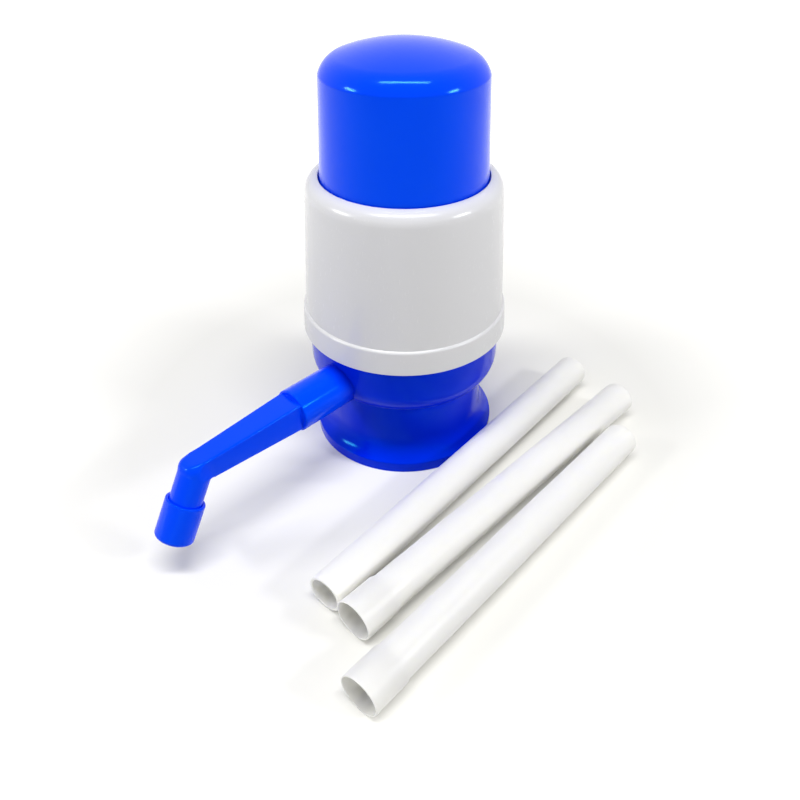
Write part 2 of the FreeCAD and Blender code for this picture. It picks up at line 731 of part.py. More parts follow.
INLET_RING = "inlet_pocket_radius + retainer_ledge"
inlet_retainer = turned("inlet_retainer", tube_corners(
    INLET_RING + " - retainer_rim", INLET_RING, "retainer_bottom", "chamber_floor"))
spokes(inlet_retainer, INLET_RING + " - retainer_rim / 2", "retainer_bottom",
       "chamber_floor - retainer_bottom")

# Outlet: these pieces are turned about the spout's axis, so their heights are distances along it.
on_spout_axis = (0, 0, value("spout_height"))
outlet_tube = turned("outlet_tube", [
    ("outlet_tube_bore", "outlet_tube_start"),
    ("outlet_tube_radius", "outlet_tube_start"),
    ("outlet_tube_radius", "socket_step + outlet_washer_thickness"),
    ("socket_bore - fit_gap", "socket_step + outlet_washer_thickness"),
    ("socket_bore - fit_gap", "outlet_seat"),
    ("outlet_tube_bore", "outlet_seat"),
])
outlet_washer = turned("outlet_washer", tube_corners(
    "outlet_tube_radius", "socket_bore - fit_gap", "socket_step", "socket_step + outlet_washer_thickness"))
outlet_flap = turned("outlet_flap", [
    ("0", "outlet_seat"),
    ("outlet_flap_radius", "outlet_seat"),
    ("outlet_flap_radius", "outlet_seat + outlet_flap_thickness"),
    ("0", "outlet_seat + outlet_flap_thickness"),
])
OUTLET_RING_BORE = "outlet_flap_radius + flap_gap"
outlet_retainer = turned("outlet_retainer", tube_corners(
    OUTLET_RING_BORE, "socket_bore - fit_gap", "outlet_seat", "outlet_stop + retainer_thickness"))
spokes(outlet_retainer, OUTLET_RING_BORE + " + spoke_sink", "outlet_stop", "retainer_thickness")


def rounded_square(sketch, half_across, half_up, corner):
    """A square with round corners, as eight edges that start in the same place every time."""
    x, y, r = "(%s)" % half_across, "(%s)" % half_up, "(%s)" % corner
    ry = "(%s * %s / %s)" % (r, y, x)
    steps = [(x, "0 - %s + %s" % (y, ry)), (x, "%s - %s" % (y, ry))]
    steps += [("%s - %s" % (x, r), y), ("0 - %s + %s" % (x, r), y)]
    steps += [("0 - " + x, "%s - %s" % (y, ry)), ("0 - " + x, "0 - %s + %s" % (y, ry))]
    steps += [("0 - %s + %s" % (x, r), "0 - " + y), ("%s - %s" % (x, r), "0 - " + y)]
    corners = []
    for i, (across, up) in enumerate(steps):
        if i % 2:
            corners.append((across, up, "sqrt((%s ^ 2 + %s ^ 2) / 2)" % (r, ry), 1))
        else:
            corners.append((across, up))
    outline(sketch, corners)


# Spout: a round spigot in the socket, then a square tube with round corners, mitred at its bend.
spout = new_body("spout")
HALF_BEND = "spout_bend_angle / 2"
LEG_UP = "0 - spout_leg * sin(spout_bend_angle)"
LEG_OUT = "spout_bend_distance + spout_leg * cos(spout_bend_angle)"
STATIONS = [
    ("root", "spout_root_half", "spout_root_half", "spout_root_corner", "socket_end", "0", "0"),
    ("mitre", "spout_bend_half", "spout_bend_half / cos(%s)" % HALF_BEND, "spout_bend_corner",
     "spout_bend_distance", HALF_BEND, "0"),
    ("tip", "spout_tip_radius", "spout_tip_radius", "spout_tip_radius - spout_tip_flat", LEG_OUT,
     "spout_bend_angle", LEG_UP),
]
stations = []
for name, across, up, corner, lift, tilt, shift in STATIONS:
    station = new_sketch(spout, name, "XY_Plane", lift, tilt, shift)
    rounded_square(station, across, up, corner)
    stations.append(station)
doc.recompute()
skin = spout.newObject("PartDesign::AdditiveLoft", "spout_skin")
skin.Profile = stations[0]
skin.Sections = stations[1:]
skin.Ruled = True
spout.Tip = skin
doc.recompute()
add_turn(spout, "spigot", [
    ("0", "spigot_end"),
    ("socket_bore - running_gap", "spigot_end"),
    ("socket_bore - running_gap", "oring_distance - oring_radius - slide_gap"),
    ("socket_bore - running_gap - 2 * oring_radius - slide_gap", "oring_distance - oring_radius - slide_gap"),
    ("socket_bore - running_gap - 2 * oring_radius - slide_gap", "oring_distance + oring_radius + slide_gap"),
    ("socket_bore - running_gap", "oring_distance + oring_radius + slide_gap"),
    ("socket_bore - running_gap", "socket_end"),
    ("spout_bore + join_depth", "socket_end"),
    ("spout_bore + join_depth", "socket_end + join_depth"),
    ("0", "socket_end + join_depth"),
])
bores = []
for name, lift, tilt, shift, stretch in (
        ("bore_a", "spigot_end", "0", "0", "1"),
        ("bore_b", "spout_bend_distance", HALF_BEND, "0", "cos(%s)" % HALF_BEND),
        ("bore_c", LEG_OUT, "spout_bend_angle", LEG_UP, "1")):
    station = new_sketch(spout, name, "XY_Plane", lift, tilt, shift)
    narrow = "spout_bend_bore" if name == "bore_b" else "spout_bore"
    rounded_square(station, narrow, "(%s) / %s" % (narrow, stretch), "(%s) - spout_tip_flat" % narrow)
    bores.append(station)
doc.recompute()
hollow = spout.newObject("PartDesign::SubtractiveLoft", "spout_hollow")
hollow.Profile = bores[0]
hollow.Sections = bores[1:]
hollow.Ruled = True
spout.Tip = hollow

oring = doc.addObject("Part::Torus", "spout_oring")
oring.Label = "spout_oring"
oring.setExpression("Radius1", bound("socket_bore - running_gap - oring_radius"))
oring.setExpression("Radius2", bound("oring_radius"))

# Dust cap: a round cup with a closed, rounded end, pushed on the spout's tip.
dust_cap = turned("dust_cap", [
    ("spout_tip_radius + fit_gap", "spout_leg - dust_cap_depth"),
    ("dust_cap_radius", "spout_leg - dust_cap_depth"),
    ("dust_cap_radius", "spout_leg + dust_cap_end + seat_gap - dust_cap_round", "dust_cap_round", 1),
    ("dust_cap_radius - dust_cap_round", "spout_leg + dust_cap_end + seat_gap"),
    ("0", "spout_leg + dust_cap_end + seat_gap"),
    ("0", "spout_leg + seat_gap"),
    ("spout_tip_radius + fit_gap", "spout_leg + seat_gap"),
])

# Dip tubes on the floor. Two of them are widened at the near end to take another tube's end.
for number in (1, 2, 3):
    label = "tube_%d" % number
    length = label + "_length"
    inner = "tube_radius - tube_wall"
    if number == 1:
        tube = turned(label, tube_corners(inner, "tube_radius", "0", length))
    else:
        tube = turned(label, [
            ("tube_radius + fit_gap", "0"),
            ("bell_radius", "0"),
            ("bell_radius", "bell_depth"),
            ("tube_radius", "bell_depth + bell_cone"),
            ("tube_radius", length),
            (inner, length),
            (inner, "bell_depth + bell_cone"),
            ("tube_radius + fit_gap", "bell_depth"),
        ])
    heading = math.radians(value(label + "_heading"))
    along = FreeCAD.Vector(math.cos(heading), math.sin(heading), 0)
    across = FreeCAD.Vector(math.sin(heading), -math.cos(heading), 0)
    near = across * value(label + "_distance") - along * value(label + "_start")
    # a tube with a bell lies on the bell's rim and on its far end
    near_radius = value("tube_radius" if number == 1 else "bell_radius")
    droop = math.degrees(math.asin((near_radius - value("tube_radius")) / value(length)))
    near.z = near_radius
    place(tube, near, 90 + droop, value(label + "_heading") + 90)

doc.recompute()
for piece in (outlet_tube, outlet_washer, outlet_flap, outlet_retainer, spout):
    place(piece, on_spout_axis, 90)
oring.Placement = FreeCAD.Placement(
    FreeCAD.Vector(0, -value("oring_distance"), value("spout_height")),
    FreeCAD.Rotation(FreeCAD.Vector(1, 0, 0), 90))
place(dust_cap, (0, -value("spout_bend_distance"), value("spout_height")), 90 + value("spout_bend_angle"))
doc.recompute()

failed = [o.Name for o in doc.Objects if "Invalid" in o.State or "Error" in o.State]
if failed:
    raise RuntimeError("failed features: " + ", ".join(failed))
pieces = [o for o in doc.Objects if o.TypeId == "PartDesign::Body"]
pieces += [screw_group, spring, oring]
for piece in pieces:
    if piece.Shape.isNull() or not piece.Shape.isValid() or not piece.Shape.Solids:
        raise RuntimeError("bad shape: " + piece.Label)
for piece in pieces:
    piece.Shape.exportStep("parts/%s.step" % piece.Label)
print(len(pieces), "pieces")
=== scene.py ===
import math

import bpy
from mathutils import Matrix, Vector


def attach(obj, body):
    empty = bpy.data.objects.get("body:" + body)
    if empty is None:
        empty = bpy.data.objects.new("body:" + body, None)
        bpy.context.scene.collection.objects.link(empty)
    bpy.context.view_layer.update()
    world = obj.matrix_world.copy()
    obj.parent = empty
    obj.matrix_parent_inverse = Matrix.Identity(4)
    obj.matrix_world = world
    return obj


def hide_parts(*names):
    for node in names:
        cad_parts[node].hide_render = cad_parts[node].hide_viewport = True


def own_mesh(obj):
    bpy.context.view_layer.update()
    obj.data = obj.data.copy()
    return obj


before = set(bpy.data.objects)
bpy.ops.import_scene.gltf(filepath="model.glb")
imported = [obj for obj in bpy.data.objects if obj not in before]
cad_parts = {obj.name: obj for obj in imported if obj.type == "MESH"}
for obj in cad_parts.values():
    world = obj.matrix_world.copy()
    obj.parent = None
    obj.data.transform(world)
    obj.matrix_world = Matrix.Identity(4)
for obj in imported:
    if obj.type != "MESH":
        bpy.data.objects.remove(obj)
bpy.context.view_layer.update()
MM = 0.001

# Camera. It looks down from the pump's right front, so that the spout points to the lower left.
# Its place was fitted to the foot, the band, the lip and the outlines of the three tubes.
PHOTO_WIDTH = 800
FOCAL_PIXELS = 744.07
PHOTO_CENTRE = (404.34, 397.5)
SENSOR_WIDTH = 36.0
CAMERA_PLACE = (179.87 * MM, -191.53 * MM, 216.75 * MM)
CAMERA_PITCH = 38.3
CAMERA_HEADING = 43.2
CLIP_START = 0.01
CLIP_END = 20
bpy.ops.object.camera_add(
    location=CAMERA_PLACE, rotation=(math.radians(90 - CAMERA_PITCH), 0, math.radians(CAMERA_HEADING)))
camera = bpy.context.object
camera.name = "photo_camera"
camera.data.sensor_width = SENSOR_WIDTH
camera.data.lens = FOCAL_PIXELS / PHOTO_WIDTH * SENSOR_WIDTH
camera.data.shift_x = (PHOTO_WIDTH / 2 - PHOTO_CENTRE[0]) / PHOTO_WIDTH
camera.data.shift_y = (PHOTO_CENTRE[1] - PHOTO_WIDTH / 2) / PHOTO_WIDTH
camera.data.clip_start = CLIP_START
camera.data.clip_end = CLIP_END
bpy.context.scene.camera = camera
bpy.context.scene.view_settings.view_transform = "Standard"

# Studio. A pale sweep of floor, a small strip lamp on each side, a long one overhead and an even sky, so
# the pump's front stays darker than its flanks and top. Lengths here are metres. The floor carries a
# painted glow, seen only directly and in reflections, faint near the pump and growing to white away from
# it.
FLOOR_SIZE = 6.0
FLOOR_COLOUR = (0.77, 0.765, 0.735)
FLOOR_GLOW_NEAR = 0.12
GLOW_RISE_STARTS = 0.12
GLOW_RISE_ENDS = 0.40
SKY_LEVEL = 0.22
LAMPS_AIM = Vector((0, 0, 0.07))
HEADING = math.radians(CAMERA_HEADING)
TO_RIGHT = Vector((math.cos(HEADING), math.sin(HEADING), 0))
TO_FRONT = Vector((math.sin(HEADING), -math.cos(HEADING), 0))
PANELS = [
    # name, to the right, to the front, up, width, depth, watts
    ("panel_left", -0.92, 0.22, 0.55, 0.28, 0.10, 3.6),
    ("panel_right", 0.88, 0.34, 0.56, 0.24, 0.10, 3.3),
    ("panel_top", 0.00, 0.22, 1.13, 0.80, 0.10, 8.8),
]
for panel_name, to_right, to_front, up, width, depth, watts in PANELS:
    place = TO_RIGHT * to_right + TO_FRONT * to_front + Vector((0, 0, up))
    aim = (LAMPS_AIM - place).to_track_quat("-Z", "Y").to_euler()
    bpy.ops.object.light_add(type="AREA", location=place, rotation=aim)
    panel = bpy.context.object
    panel.name = panel_name
    panel.data.shape = "RECTANGLE"
    panel.data.size = width
    panel.data.size_y = depth
    panel.data.energy = watts

bpy.ops.mesh.primitive_plane_add(size=FLOOR_SIZE, location=(0, 0, 0))
floor = bpy.context.object
floor.name = "studio_floor"


def node_maker(tree):
    """A short way to add a node with its settings, and to wire it up."""
    def make(kind, inputs=(), **settings):
        node = tree.nodes.new(kind)
        for key, setting in settings.items():
            setattr(node, key, setting)
        for key, source in dict(inputs).items():
            if isinstance(source, bpy.types.NodeSocket):
                tree.links.new(source, node.inputs[key])
            else:
                node.inputs[key].default_value = source
        return node
    return make


def blank_finish(name):
    """A new material with nothing in it, the maker of its nodes, and the place on the object."""
    finish = bpy.data.materials.new(name)
    finish.use_nodes = True
    finish.node_tree.nodes.clear()
    make = node_maker(finish.node_tree)
    return finish, make, make("ShaderNodeTexCoord").outputs["Object"]


def ranged(make, value, low, high, start=0.0, stop=1.0, **settings):
    """Goes from low to high while the value goes from start to stop."""
    return make("ShaderNodeMapRange", {"Value": value, "From Min": start, "From Max": stop,
                                       "To Min": low, "To Max": high}, **settings).outputs[0]


def seen_directly(make):
    """1 for a ray that shows the background itself, 0 for one that lights a surface."""
    path = make("ShaderNodeLightPath")
    shiny = make("ShaderNodeMath", {0: path.outputs["Is Camera Ray"], 1: path.outputs["Is Glossy Ray"]},
                 operation="MAXIMUM")
    return make("ShaderNodeMath", {0: shiny.outputs[0], 1: path.outputs["Is Transmission Ray"]},
                operation="MAXIMUM").outputs[0]


world = bpy.data.worlds.new("studio_sky")
bpy.context.scene.world = world
world.use_nodes = True
world.node_tree.nodes.clear()
make = node_maker(world.node_tree)
sky_level = ranged(make, seen_directly(make), SKY_LEVEL, 1.0)
sky = make("ShaderNodeBackground", {"Color": (1, 1, 1, 1), "Strength": sky_level})
make("ShaderNodeOutputWorld", {"Surface": sky.outputs[0]})

floor_finish, make, place = blank_finish("white_floor")
lit = make("ShaderNodeBsdfDiffuse", {"Color": (*FLOOR_COLOUR, 1)})
# Painted glow: the floor shines more the farther it lies from the pump, seen only directly and in
# reflections, so it turns white where the lamps fall off.
from_pump = make("ShaderNodeVectorMath", {0: place}, operation="LENGTH")
sweep = ranged(make, from_pump.outputs["Value"], FLOOR_GLOW_NEAR, 1.0, GLOW_RISE_STARTS, GLOW_RISE_ENDS)
lift = make("ShaderNodeMath", {0: seen_directly(make), 1: sweep}, operation="MULTIPLY")
glow = make("ShaderNodeEmission", {"Color": (1, 1, 1, 1), "Strength": lift.outputs[0]})
both = make("ShaderNodeAddShader", {0: lit.outputs[0], 1: glow.outputs[0]})
make("ShaderNodeOutputMaterial", {"Surface": both.outputs[0]})
floor.data.materials.append(floor_finish)

# Base moulding. One injection-moulded piece of glossy blue polypropylene: a flared skirt, ribbed inside
# to the sleeve for the bottle's neck, a waist, a bulge under the housing and the spout's socket. Four
# posts with pilot holes rise from its deck and carry the cylinder.
FOOT_RADIUS = 38.5
FOOT_BAND = 4.6
FOOT_STEP = 0.9
FOOT_SLOPE = 0.6
FLARE_RADIUS = 11.1
FLARE_RISE = 8.8
SKIRT_RADIUS = 33.0
WAIST_RADIUS = 32.1
WAIST_HEIGHT = 29.0
BULGE_RADIUS = 38.8
BULGE_HEIGHT = 38.75
BULGE_CORNER = 10.5
BASE_HEIGHT = 60.0
BASE_WALL = 2.2
DECK_BOTTOM = 28.7
DECK_TOP = 31.2
DECK_REACH = 31.75
DECK_HOLE = 8.6
NECK_RADIUS = 28.2
NECK_GRIP = 14.0
NECK_RELIEF = 0.5
NECK_DEPTH = 25.7
NECK_WALL = 1.7
GASKET_STEP = 0.5
GASKET_RADIUS = NECK_RADIUS + NECK_RELIEF + GASKET_STEP
SKIRT_GAP_DEPTH = 15.0
RIB = 1.2
RIB_LIFT = 2.0
RIB_COUNT = 8
POST_RADIUS = 3.2
POST_TOP = 47.0
POST_CIRCLE = 25.0
PILOT_RADIUS = 1.4
PILOT_DEPTH = 6.4
POST_COUNT = 4
SINK = 0.5
CUT_PAST = 1.0
SOCKET_RADIUS = 8.5
SOCKET_START = 29.0
SOCKET_END = 62.0
SOCKET_STEP = 34.0
SOCKET_BORE = 6.7
SOCKET_ROUND = 0.6
SOCKET_SEGMENTS = 4
# Where along the spout's axis the base's blue turns paler: painted light on the socket.
SOCKET_LIGHT_FADE = (38.0, 46.0)
SPOUT_HEIGHT = 38.4
OUTLET_TUBE_HOLE = 4.5
TURN_STEPS = 160
SMALL_TURN_STEPS = 96
POST_STEPS = 48
ARC_STEPS = 12
WELD = 0.002 * MM
EDGE_ROUND = 0.3
EDGE_SEGMENTS = 3
EDGE_ANGLE = math.radians(35)
SMOOTH_ANGLE = math.radians(32)


def wake(*pieces):
    """Selects these pieces and nothing else."""
    bpy.ops.object.select_all(action="DESELECT")
    for piece in pieces:
        piece.select_set(True)
    bpy.context.view_layer.objects.active = pieces[0]


def arc_points(start, stop, radius, side):
    """The points between two corners on an arc whose centre lies to the left (1) or right (-1)."""
    start, stop = Vector(start), Vector(stop)
    chord = stop - start
    rise = math.sqrt(radius ** 2 - (chord.length / 2) ** 2)
    centre = (start + stop) / 2 + Vector((-chord.y, chord.x)).normalized() * rise * side
    first, last = start - centre, stop - centre
    sweep = math.copysign(first.angle(last), side)
    return [centre + Matrix.Rotation(sweep * i / ARC_STEPS, 2) @ first for i in range(1, ARC_STEPS)]


def outline_points(corners):
    """All points of an outline in millimetres. A corner of four numbers starts an arc."""
    points = []
    for i, corner in enumerate(corners):
        points.append(Vector(corner[:2]))
        if len(corner) == 4:
            points += arc_points(corner[:2], corners[(i + 1) % len(corners)][:2], *corner[2:])
    return points


def drawn(name, points):
    """Draws an outline vertex by vertex in the XZ plane and leaves it open in edit mode."""
    bpy.ops.object.select_all(action="DESELECT")
    bpy.ops.mesh.primitive_plane_add(size=MM)
    piece = bpy.context.object
    piece.name = name
    bpy.ops.object.mode_set(mode="EDIT")
    bpy.ops.mesh.merge(type="CENTER")
    bpy.ops.transform.translate(value=(points[0].x * MM, 0, points[0].y * MM))
    for before, after in zip(points, points[1:]):
        move = (after - before) * MM
        bpy.ops.mesh.extrude_region_move(TRANSFORM_OT_translate={"value": (move.x, 0, move.y)})
    bpy.ops.mesh.select_all(action="SELECT")
    return piece


def turned(name, corners, steps=TURN_STEPS):
    """Spins an outline of (radius, height) corners about the Z axis."""
    points = outline_points(corners)
    if points[0].x > 0 or points[-1].x > 0:
        points.append(points[0])
    piece = drawn(name, points)
    bpy.ops.mesh.spin(steps=steps, angle=2 * math.pi, center=(0, 0, 0), axis=(0, 0, 1))
    bpy.ops.mesh.select_all(action="SELECT")
    bpy.ops.mesh.remove_doubles(threshold=WELD)
    bpy.ops.mesh.normals_make_consistent(inside=False)
    bpy.ops.object.mode_set(mode="OBJECT")
    return piece


def plate(name, corners, thickness):
    """Fills an outline of (radius, height) corners and gives it a thickness across its plane."""
    piece = drawn(name, outline_points(corners))
    bpy.ops.mesh.edge_face_add()
    bpy.ops.transform.translate(value=(0, -thickness / 2 * MM, 0))
    bpy.ops.mesh.extrude_region_move(TRANSFORM_OT_translate={"value": (0, thickness * MM, 0)})
    bpy.ops.mesh.select_all(action="SELECT")
    bpy.ops.mesh.normals_make_consistent(inside=False)
    bpy.ops.object.mode_set(mode="OBJECT")
    return piece


def set_in_place(piece, matrix):
    """Moves a piece and puts the move into its mesh."""
    piece.matrix_world = matrix
    wake(piece)
    bpy.ops.object.transform_apply(location=True, rotation=True, scale=True)


def copied_round(piece, count, start=0.0):
    """Copies a piece round the Z axis, as one object of separate shells."""
    set_in_place(piece, Matrix.Rotation(start, 4, "Z"))
    copies = [piece]
    for number in range(1, count):
        wake(piece)
        bpy.ops.object.duplicate()
        copy = bpy.context.object
        set_in_place(copy, Matrix.Rotation(2 * math.pi * number / count, 4, "Z"))
        copies.append(copy)
    wake(*copies)
    bpy.ops.object.join()
    return piece


def apply(piece, kind, **settings):
    """Adds a modifier with its settings and applies it."""
    wake(piece)
    modifier = piece.modifiers.new(kind.lower(), kind)
    for key, setting in settings.items():
        setattr(modifier, key, setting)
    bpy.ops.object.modifier_apply(modifier=modifier.name)


def soften(piece, width=EDGE_ROUND, segments=EDGE_SEGMENTS):
    """Rounds the crisp edges as a mould does."""
    apply(piece, "BEVEL", width=width * MM, segments=segments, limit_method="ANGLE", angle_limit=EDGE_ANGLE,
          use_clamp_overlap=True)


def shade(piece):
    """Shades a piece smooth, with its broad faces true and its edges crisp."""
    wake(piece)
    bpy.ops.object.shade_smooth_by_angle(angle=SMOOTH_ANGLE)
    apply(piece, "WEIGHTED_NORMAL", keep_sharp=True)


def carve(piece, tool, operation):
    """Joins a tool to a piece, or cuts it out, and removes the tool."""
    apply(piece, "BOOLEAN", object=tool, operation=operation, solver="EXACT")
    bpy.data.objects.remove(tool)


def rod(radius, start, stop):
    """A plain rod along the spout's axis, for joining and cutting."""
    bpy.ops.object.select_all(action="DESELECT")
    bpy.ops.mesh.primitive_cylinder_add(
        vertices=SMALL_TURN_STEPS, radius=radius * MM, depth=(stop - start) * MM,
        location=(0, -(start + stop) / 2 * MM, SPOUT_HEIGHT * MM), rotation=(math.pi / 2, 0, 0))
    return bpy.context.object


def stands_for(piece, body, node, finish):
    """Gives a piece its finish and its body, and hides the node that it stands for."""
    piece.data.materials.clear()
    piece.data.materials.append(finish)
    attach(piece, body)
    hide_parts(node)


def noise(make, place, scale, detail):
    """Cloudy noise: more of it to the metre with a greater scale."""
    return make("ShaderNodeTexNoise", {"Vector": place, "Scale": scale, "Detail": detail}).outputs["Fac"]


def stretched(make, place, scale):
    """The place on the object, drawn out along the axes whose scale is small."""
    return make("ShaderNodeMapping", {"Vector": place, "Scale": scale}).outputs[0]


def mixed(make, factor, first, second):
    """Goes from the first colour to the second."""
    return make("ShaderNodeMix", {"Factor": factor, 6: first, 7: second}, data_type="RGBA").outputs[2]


def moulded(name, colour, second_colour, roughness, ior=1.5, specular_tint=(1, 1, 1), subsurface=0.0,
            scatter=2.0, socket_light_colour=None):
    """Moulded plastic: a faint drift of colour from the flow of the melt, gloss that varies from place to
    place, the fine ripple of a moulded skin, and hair-fine marks of handling. Given a colour for the
    socket, it is painted paler along the socket, as painted light."""
    finish, make, place = blank_finish(name)
    tint = mixed(make, noise(make, place, scale=22.0, detail=2.0), (*colour, 1), (*second_colour, 1))
    # Painted light: the socket is painted paler than the bulge it grows from.
    if socket_light_colour:
        along = make("ShaderNodeSeparateXYZ", {0: place}).outputs["Y"]
        painted_light_share = ranged(make, along, 0.0, 1.0, -SOCKET_LIGHT_FADE[0] * MM, -SOCKET_LIGHT_FADE[1] * MM,
                          interpolation_type="SMOOTHSTEP")
        tint = mixed(make, painted_light_share, tint, (*socket_light_colour, 1))
    gloss = ranged(make, noise(make, place, scale=45.0, detail=2.0), *roughness, start=0.3, stop=0.7)
    upright = stretched(make, place, (1.0, 1.0, 0.12))
    scuffs = ranged(make, noise(make, upright, scale=2600.0, detail=1.0), 0.0, 0.06, start=0.66, stop=0.74)
    total = make("ShaderNodeMath", {0: gloss, 1: scuffs}, operation="ADD")
    bump = make("ShaderNodeBump", {"Height": noise(make, place, scale=160.0, detail=1.0), "Strength": 0.03,
                                   "Distance": 0.1 * MM})
    shader = make("ShaderNodeBsdfPrincipled", {
        "Base Color": tint, "Roughness": total.outputs[0], "Normal": bump.outputs[0],
        "IOR": ior, "Specular Tint": (*specular_tint, 1),
        "Subsurface Weight": subsurface, "Subsurface Radius": (scatter, scatter, 0.85 * scatter),
        "Subsurface Scale": MM})
    make("ShaderNodeOutputMaterial", {"Surface": shader.outputs[0]})
    return finish


# Painted shade: the base takes the pump's blue plastic painted darker than on the cap and spout; along the
# socket it is painted paler again, as painted light.
blue_painted_darker = moulded("blue_painted_darker", (0.0, 0.019, 0.74), (0.0, 0.016, 0.69), (0.10, 0.16), ior=1.27,
                    specular_tint=(0.0, 0.75, 1.0), socket_light_colour=(0.0, 0.060, 1.0))
FLARE_TOP = FOOT_BAND + FOOT_SLOPE + FLARE_RISE
base = turned("base_moulding", [
    (FOOT_RADIUS, 0),
    (FOOT_RADIUS, FOOT_BAND),
    (FOOT_RADIUS - FOOT_STEP, FOOT_BAND + FOOT_SLOPE, FLARE_RADIUS, -1),
    (SKIRT_RADIUS, FLARE_TOP),
    (WAIST_RADIUS, WAIST_HEIGHT, BULGE_CORNER, 1),
    (BULGE_RADIUS, BULGE_HEIGHT),
    (BULGE_RADIUS, BASE_HEIGHT),
    (BULGE_RADIUS - BASE_WALL, BASE_HEIGHT),
    (BULGE_RADIUS - BASE_WALL, BULGE_HEIGHT, BULGE_CORNER - BASE_WALL, -1),
    (DECK_REACH, DECK_TOP),
    (DECK_HOLE, DECK_TOP),
    (DECK_HOLE, DECK_BOTTOM),
    (GASKET_RADIUS, DECK_BOTTOM),
    (GASKET_RADIUS, NECK_DEPTH),
    (NECK_RADIUS + NECK_RELIEF, NECK_DEPTH),
    (NECK_RADIUS + NECK_RELIEF, NECK_GRIP + NECK_RELIEF),
    (NECK_RADIUS, NECK_GRIP),
    (NECK_RADIUS, 0),
    (NECK_RADIUS + NECK_WALL, 0),
    (NECK_RADIUS + NECK_WALL, SKIRT_GAP_DEPTH),
    (SKIRT_RADIUS - BASE_WALL, SKIRT_GAP_DEPTH, FLARE_RADIUS + BASE_WALL, 1),
    (FOOT_RADIUS - FOOT_STEP - BASE_WALL, FOOT_BAND + FOOT_SLOPE),
    (FOOT_RADIUS - BASE_WALL, 0),
])
soften(base)
HALF_WALL = BASE_WALL / 2
rib = plate("skirt_rib", [
    (NECK_RADIUS + NECK_WALL - SINK, RIB_LIFT),
    (FOOT_RADIUS - HALF_WALL, RIB_LIFT),
    (FOOT_RADIUS - FOOT_STEP - HALF_WALL, FOOT_BAND + FOOT_SLOPE, FLARE_RADIUS + HALF_WALL, -1),
    (SKIRT_RADIUS - HALF_WALL, SKIRT_GAP_DEPTH),
    (SKIRT_RADIUS - HALF_WALL, SKIRT_GAP_DEPTH + SINK),
    (NECK_RADIUS + NECK_WALL - SINK, SKIRT_GAP_DEPTH + SINK),
], RIB)
carve(base, copied_round(rib, RIB_COUNT), "UNION")
post = turned("deck_post", [
    (0, DECK_TOP - SINK),
    (POST_RADIUS, DECK_TOP - SINK),
    (POST_RADIUS, POST_TOP),
    (PILOT_RADIUS, POST_TOP),
    (PILOT_RADIUS, POST_TOP - PILOT_DEPTH),
    (0, POST_TOP - PILOT_DEPTH),
], steps=POST_STEPS)
set_in_place(post, Matrix.Translation((POST_CIRCLE * MM, 0, 0)))
carve(base, copied_round(post, POST_COUNT, start=math.pi / 4), "UNION")
socket = rod(SOCKET_RADIUS, SOCKET_START, SOCKET_END)
soften(socket, width=SOCKET_ROUND, segments=SOCKET_SEGMENTS)
carve(base, socket, "UNION")
carve(base, rod(SOCKET_BORE, SOCKET_STEP, SOCKET_END + CUT_PAST), "DIFFERENCE")
carve(base, rod(OUTLET_TUBE_HOLE, SOCKET_START - CUT_PAST, SOCKET_END + CUT_PAST), "DIFFERENCE")
shade(base)
stands_for(base, "pump_body", "base_body", blue_painted_darker)


# Valve block and outlet. A milky polyethylene block with the suction nipple hangs through the deck, with
# a rubber disc under a spoked retainer as its inlet valve. A flanged pipe leads from it into the socket,
# to a second disc. Black rubber rings seal the neck, the deck and the pipe.
def dress(finish, *nodes):
    """Gives carried-over nodes one finish."""
    for node in nodes:
        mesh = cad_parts[node].data
        mesh.materials.clear()
        mesh.materials.append(finish)


def rubber_finish(name, colour, bloom):
    """Moulded rubber: matt black with a faint grey bloom and the grain of its mould."""
    finish, make, place = blank_finish(name)
    clouds = noise(make, place, scale=180.0, detail=5.0)
    bump = make("ShaderNodeBump", {"Height": noise(make, place, scale=3200.0, detail=2.0), "Strength": 0.25,
                                   "Distance": 0.05 * MM})
    shader = make("ShaderNodeBsdfPrincipled", {
        "Base Color": mixed(make, clouds, (*colour, 1), (*bloom, 1)),
        "Roughness": ranged(make, clouds, 0.55, 0.8), "Normal": bump.outputs[0]})
    make("ShaderNodeOutputMaterial", {"Surface": shader.outputs[0]})
    return finish


milky_plastic = moulded("milky_plastic", (0.80, 0.82, 0.81), (0.75, 0.775, 0.77), (0.3, 0.42),
                        subsurface=0.3)
black_rubber = rubber_finish("black_rubber", (0.018, 0.018, 0.019), (0.042, 0.042, 0.044))
dress(milky_plastic, "valve_body", "inlet_retainer", "outlet_tube", "outlet_retainer")
dress(black_rubber, "neck_gasket", "deck_gasket", "inlet_flap", "outlet_washer", "outlet_flap")


# Cylinder. The same milky plastic, moulded with a flange that four pan-head steel screws hold to the
# base's posts over a rubber ring.
STAIN = 0.78


def steel_finish(name, colour, grain_scale, roughness):
    """Bright steel with the fine lines that turning or drawing leaves, and slight stains of handling."""
    finish, make, place = blank_finish(name)
    stained = (*(STAIN * level for level in colour), 1)
    lines = noise(make, stretched(make, place, grain_scale), scale=900.0, detail=2.0)
    bump = make("ShaderNodeBump", {"Height": lines, "Strength": 0.15, "Distance": 0.02 * MM})
    shader = make("ShaderNodeBsdfPrincipled", {
        "Base Color": mixed(make, noise(make, place, scale=240.0, detail=4.0), (*colour, 1), stained),
        "Metallic": 1.0, "Roughness": ranged(make, lines, *roughness), "Normal": bump.outputs[0]})
    make("ShaderNodeOutputMaterial", {"Surface": shader.outputs[0]})
    return finish


turned_steel = steel_finish("turned_steel", (0.60, 0.60, 0.62), (1.0, 1.0, 6.0), (0.16, 0.38))
dress(milky_plastic, "cylinder")
dress(black_rubber, "cylinder_gasket")
dress(turned_steel, "cylinder_screws")

